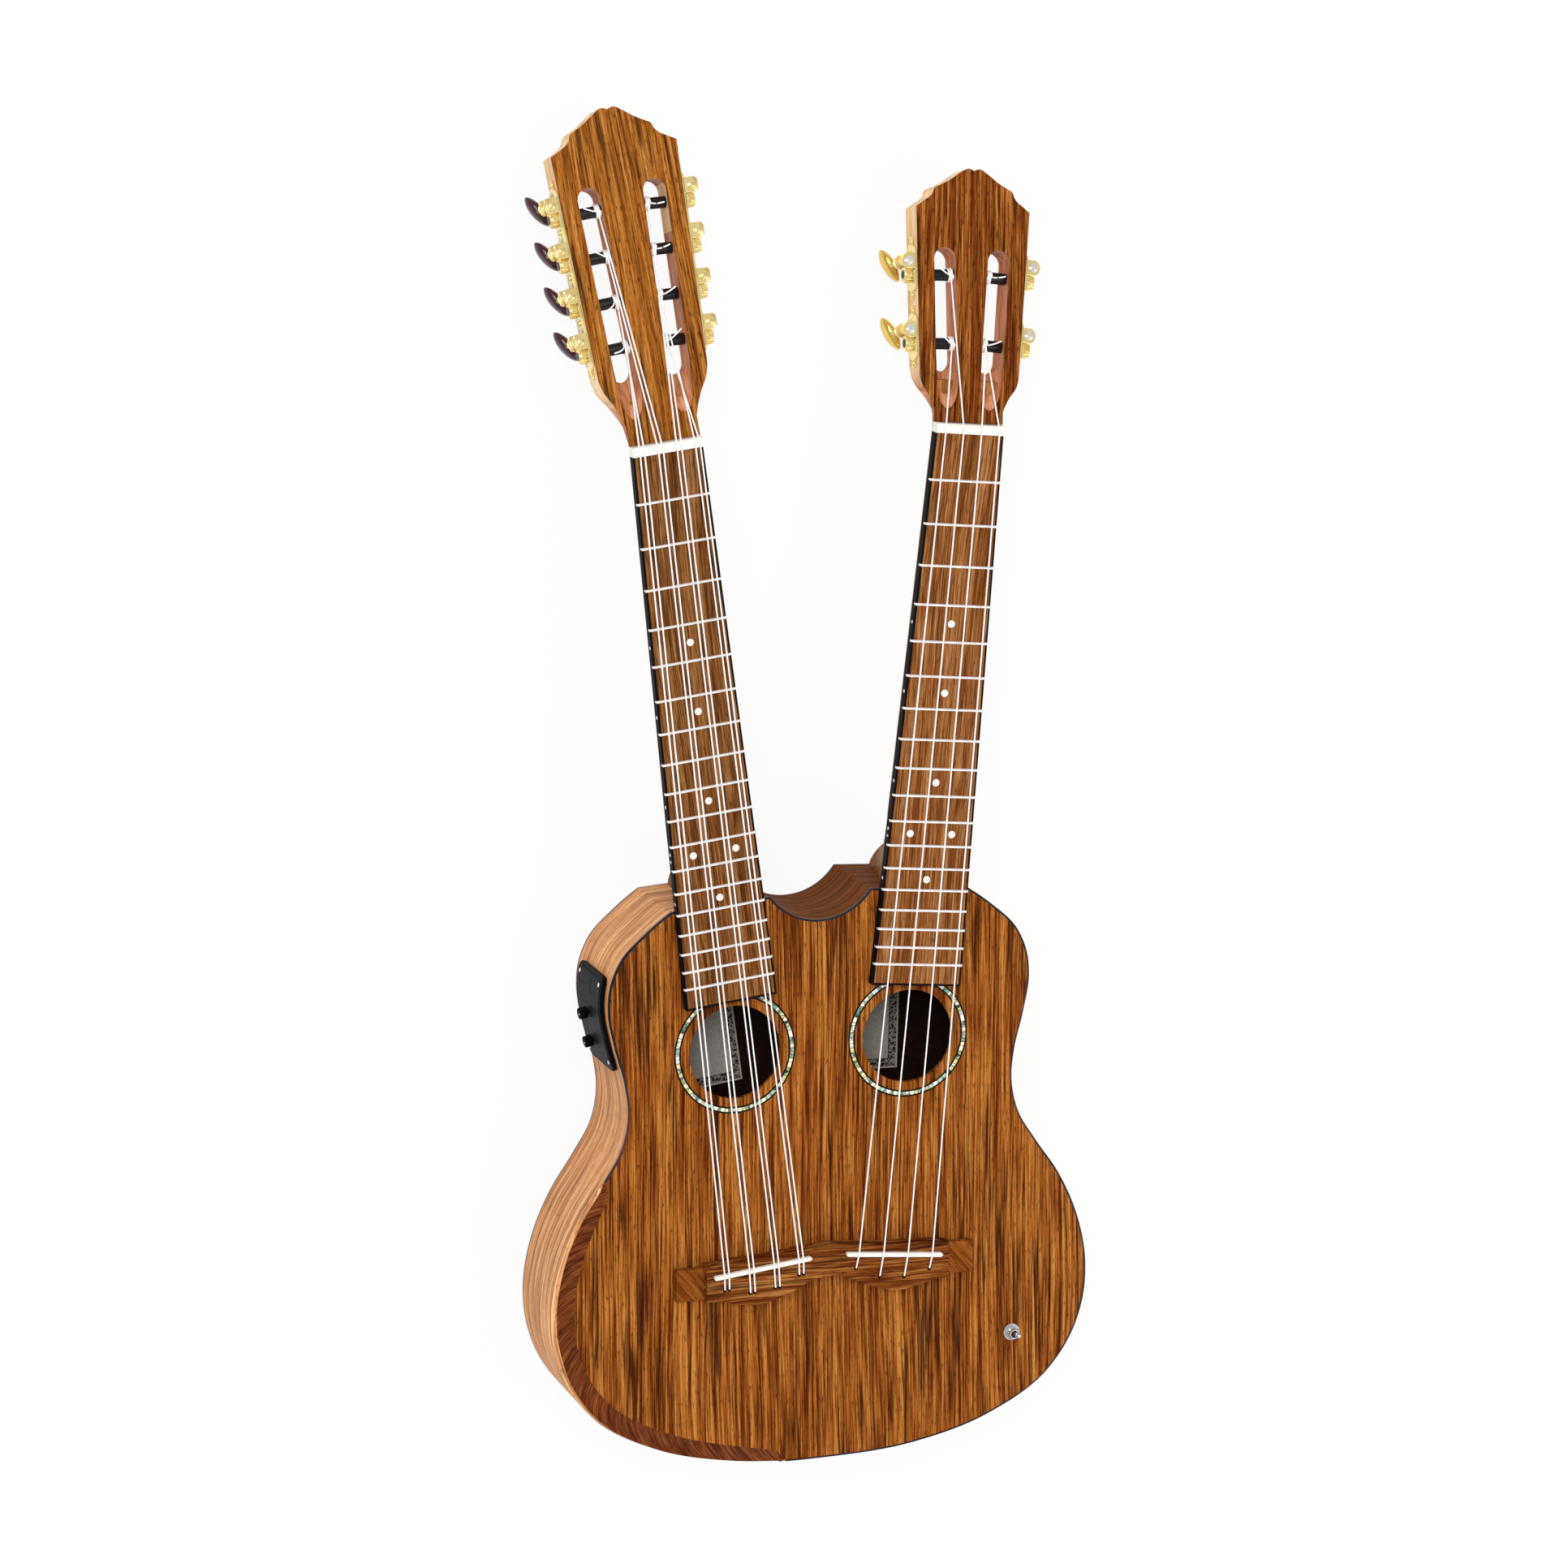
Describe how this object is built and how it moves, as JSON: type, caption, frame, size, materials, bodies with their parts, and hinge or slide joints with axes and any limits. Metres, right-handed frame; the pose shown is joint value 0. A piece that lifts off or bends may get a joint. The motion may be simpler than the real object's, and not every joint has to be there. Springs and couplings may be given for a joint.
{
  "type": "double-neck ukulele",
  "caption": "Hollow wooden ukulele with two splayed necks, one with paired strings, slotted headstocks with worm tuners that turn, side preamp knobs and a toggle.",
  "frame": {"origin": "middle of the whole instrument's footprint, in the plane of its flat back", "axes": "+Z out of the soundboard, +Y towards the headstocks, +X towards the four-string neck"},
  "size_m": [0.2958, 0.7164, 0.0719],
  "materials": {
    "top_wood": "striped walnut, gloss",
    "side_wood": "tan wood, gloss",
    "bevel_wood": "dark walnut, gloss",
    "neck_wood": "light mahogany, satin",
    "board_wood": "oiled walnut",
    "bridge_wood": "oiled walnut",
    "block_wood": "bare",
    "bone": "polished",
    "nylon": "smooth",
    "black_plastic": "satin",
    "chrome": "polished",
    "gold": "gold plated",
    "roller": "satin",
    "gold_button": "gold plated",
    "dark_button": "polished"
  },
  "bodies": {
    "instrument": {"soundboard": "top_wood", "back_plate": "top_wood", "rim": "side_wood", "neck_block": "block_wood", "tail_block": "block_wood", "arm_bevel": "bevel_wood", "left_neck": "neck_wood", "right_neck": "neck_wood", "left_fretboard": "board_wood", "right_fretboard": "board_wood", "left_nut": "bone", "right_nut": "bone", "bridge": "bridge_wood", "left_saddle": "bone", "right_saddle": "bone", "preamp_case": "black_plastic", "toggle_switch": "chrome", "output_jack": "chrome", "left_course_1": "nylon", "left_course_2": "nylon", "left_course_3": "nylon", "left_course_4": "nylon", "right_string_1": "nylon", "right_string_2": "nylon", "right_string_3": "nylon", "right_string_4": "nylon", "left_outer_plate": "gold", "left_inner_plate": "gold", "right_outer_plate_1": "gold", "right_outer_plate_2": "gold", "right_inner_plate_1": "gold", "right_inner_plate_2": "gold"},
    "left_inner_button_1": {"left_inner_button_1": "dark_button"},
    "left_inner_button_2": {"left_inner_button_2": "dark_button"},
    "left_inner_button_3": {"left_inner_button_3": "dark_button"},
    "left_inner_button_4": {"left_inner_button_4": "dark_button"},
    "left_outer_button_1": {"left_outer_button_1": "dark_button"},
    "left_outer_button_2": {"left_outer_button_2": "dark_button"},
    "left_outer_button_3": {"left_outer_button_3": "dark_button"},
    "left_outer_button_4": {"left_outer_button_4": "dark_button"},
    "right_inner_button_1": {"right_inner_button_1": "gold_button"},
    "right_inner_button_2": {"right_inner_button_2": "gold_button"},
    "right_outer_button_1": {"right_outer_button_1": "gold_button"},
    "right_outer_button_2": {"right_outer_button_2": "gold_button"},
    "left_inner_post_1": {"left_inner_post_1": "roller"},
    "left_inner_post_2": {"left_inner_post_2": "roller"},
    "left_inner_post_3": {"left_inner_post_3": "roller"},
    "left_inner_post_4": {"left_inner_post_4": "roller"},
    "left_outer_post_1": {"left_outer_post_1": "roller"},
    "left_outer_post_2": {"left_outer_post_2": "roller"},
    "left_outer_post_3": {"left_outer_post_3": "roller"},
    "left_outer_post_4": {"left_outer_post_4": "roller"},
    "right_inner_post_1": {"right_inner_post_1": "roller"},
    "right_inner_post_2": {"right_inner_post_2": "roller"},
    "right_outer_post_1": {"right_outer_post_1": "roller"},
    "right_outer_post_2": {"right_outer_post_2": "roller"},
    "preamp_tone_knob": {"preamp_tone_knob": "black_plastic"},
    "preamp_volume_knob": {"preamp_volume_knob": "black_plastic"},
    "toggle_lever": {"toggle_lever": "chrome"}
  },
  "joints": [
    {"name": "left_inner_button_1_turn", "type": "hinge", "parent": "instrument", "child": "left_inner_button_1", "pos_m": [-0.05319, 0.25062, 0.05047], "axis": [-0.0218, 0.2068, 0.9781], "continuous": true},
    {"name": "left_inner_button_2_turn", "type": "hinge", "parent": "instrument", "child": "left_inner_button_2", "pos_m": [-0.05471, 0.27327, 0.04565], "axis": [-0.0218, 0.2068, 0.9781], "continuous": true},
    {"name": "left_inner_button_3_turn", "type": "hinge", "parent": "instrument", "child": "left_inner_button_3", "pos_m": [-0.05622, 0.29591, 0.04083], "axis": [-0.0218, 0.2068, 0.9781], "continuous": true},
    {"name": "left_inner_button_4_turn", "type": "hinge", "parent": "instrument", "child": "left_inner_button_4", "pos_m": [-0.05774, 0.31855, 0.03601], "axis": [-0.0218, 0.2068, 0.9781], "continuous": true},
    {"name": "left_outer_button_1_turn", "type": "hinge", "parent": "instrument", "child": "left_outer_button_1", "pos_m": [-0.12128, 0.24346, 0.05047], "axis": [-0.0218, 0.2068, 0.9781], "continuous": true},
    {"name": "left_outer_button_2_turn", "type": "hinge", "parent": "instrument", "child": "left_outer_button_2", "pos_m": [-0.12451, 0.26592, 0.04565], "axis": [-0.0218, 0.2068, 0.9781], "continuous": true},
    {"name": "left_outer_button_3_turn", "type": "hinge", "parent": "instrument", "child": "left_outer_button_3", "pos_m": [-0.12774, 0.28838, 0.04083], "axis": [-0.0218, 0.2068, 0.9781], "continuous": true},
    {"name": "left_outer_button_4_turn", "type": "hinge", "parent": "instrument", "child": "left_outer_button_4", "pos_m": [-0.13098, 0.31084, 0.03601], "axis": [-0.0218, 0.2068, 0.9781], "continuous": true},
    {"name": "right_inner_button_1_turn", "type": "hinge", "parent": "instrument", "child": "right_inner_button_1", "pos_m": [0.05384, 0.24147, 0.05239], "axis": [0.0218, 0.2068, 0.9781], "continuous": true},
    {"name": "right_inner_button_2_turn", "type": "hinge", "parent": "instrument", "child": "right_inner_button_2", "pos_m": [0.05585, 0.27584, 0.04508], "axis": [0.0218, 0.2068, 0.9781], "continuous": true},
    {"name": "right_outer_button_1_turn", "type": "hinge", "parent": "instrument", "child": "right_outer_button_1", "pos_m": [0.11874, 0.23464, 0.05239], "axis": [0.0218, 0.2068, 0.9781], "continuous": true},
    {"name": "right_outer_button_2_turn", "type": "hinge", "parent": "instrument", "child": "right_outer_button_2", "pos_m": [0.12393, 0.26867, 0.04508], "axis": [0.0218, 0.2068, 0.9781], "continuous": true},
    {"name": "left_inner_post_1_turn", "type": "hinge", "parent": "instrument", "child": "left_inner_post_1", "pos_m": [-0.0571, 0.24229, 0.04622], "axis": [0.9976, 0.0684, 0.0077], "continuous": true},
    {"name": "left_inner_post_2_turn", "type": "hinge", "parent": "instrument", "child": "left_inner_post_2", "pos_m": [-0.05861, 0.26493, 0.0414], "axis": [0.9976, 0.0684, 0.0077], "continuous": true},
    {"name": "left_inner_post_3_turn", "type": "hinge", "parent": "instrument", "child": "left_inner_post_3", "pos_m": [-0.06013, 0.28757, 0.03658], "axis": [0.9976, 0.0684, 0.0077], "continuous": true},
    {"name": "left_inner_post_4_turn", "type": "hinge", "parent": "instrument", "child": "left_inner_post_4", "pos_m": [-0.06164, 0.31022, 0.03176], "axis": [0.9976, 0.0684, 0.0077], "continuous": true},
    {"name": "left_outer_post_1_turn", "type": "hinge", "parent": "instrument", "child": "left_outer_post_1", "pos_m": [-0.11572, 0.23611, 0.04622], "axis": [0.99, 0.1409, -0.0077], "continuous": true},
    {"name": "left_outer_post_2_turn", "type": "hinge", "parent": "instrument", "child": "left_outer_post_2", "pos_m": [-0.11895, 0.25858, 0.0414], "axis": [0.99, 0.1409, -0.0077], "continuous": true},
    {"name": "left_outer_post_3_turn", "type": "hinge", "parent": "instrument", "child": "left_outer_post_3", "pos_m": [-0.12219, 0.28104, 0.03658], "axis": [0.99, 0.1409, -0.0077], "continuous": true},
    {"name": "left_outer_post_4_turn", "type": "hinge", "parent": "instrument", "child": "left_outer_post_4", "pos_m": [-0.12542, 0.3035, 0.03176], "axis": [0.99, 0.1409, -0.0077], "continuous": true},
    {"name": "right_inner_post_1_turn", "type": "hinge", "parent": "instrument", "child": "right_inner_post_1", "pos_m": [0.0578, 0.23316, 0.04813], "axis": [0.9981, -0.0604, -0.0095], "continuous": true},
    {"name": "right_inner_post_2_turn", "type": "hinge", "parent": "instrument", "child": "right_inner_post_2", "pos_m": [0.05981, 0.26754, 0.04082], "axis": [0.9981, -0.0604, -0.0095], "continuous": true},
    {"name": "right_outer_post_1_turn", "type": "hinge", "parent": "instrument", "child": "right_outer_post_1", "pos_m": [0.11313, 0.22734, 0.04813], "axis": [0.9888, -0.1488, 0.0095], "continuous": true},
    {"name": "right_outer_post_2_turn", "type": "hinge", "parent": "instrument", "child": "right_outer_post_2", "pos_m": [0.11832, 0.26138, 0.04082], "axis": [0.9888, -0.1488, 0.0095], "continuous": true},
    {"name": "preamp_tone_knob_turn", "type": "hinge", "parent": "instrument", "child": "preamp_tone_knob", "pos_m": [-0.11454, -0.12504, 0.0275], "axis": [-0.9679, -0.2514, 0], "range_deg": [-140, 140]},
    {"name": "preamp_volume_knob_turn", "type": "hinge", "parent": "instrument", "child": "preamp_volume_knob", "pos_m": [-0.11771, -0.10916, 0.03], "axis": [-0.993, -0.1177, 0], "range_deg": [-140, 140]},
    {"name": "toggle_flip", "type": "hinge", "parent": "instrument", "child": "toggle_lever", "pos_m": [0.1054, -0.29843, 0.0605], "axis": [0, 1, 0], "range_deg": [-16, 0]}
  ],
  "couplings": [
    {"joint": "left_inner_post_1_turn", "follows": "left_inner_button_1_turn", "ratio": -0.071429},
    {"joint": "left_inner_post_2_turn", "follows": "left_inner_button_2_turn", "ratio": -0.071429},
    {"joint": "left_inner_post_3_turn", "follows": "left_inner_button_3_turn", "ratio": -0.071429},
    {"joint": "left_inner_post_4_turn", "follows": "left_inner_button_4_turn", "ratio": -0.071429},
    {"joint": "left_outer_post_1_turn", "follows": "left_outer_button_1_turn", "ratio": -0.071429},
    {"joint": "left_outer_post_2_turn", "follows": "left_outer_button_2_turn", "ratio": -0.071429},
    {"joint": "left_outer_post_3_turn", "follows": "left_outer_button_3_turn", "ratio": -0.071429},
    {"joint": "left_outer_post_4_turn", "follows": "left_outer_button_4_turn", "ratio": -0.071429},
    {"joint": "right_inner_post_1_turn", "follows": "right_inner_button_1_turn", "ratio": -0.071429},
    {"joint": "right_inner_post_2_turn", "follows": "right_inner_button_2_turn", "ratio": -0.071429},
    {"joint": "right_outer_post_1_turn", "follows": "right_outer_button_1_turn", "ratio": -0.071429},
    {"joint": "right_outer_post_2_turn", "follows": "right_outer_button_2_turn", "ratio": -0.071429}
  ]
}
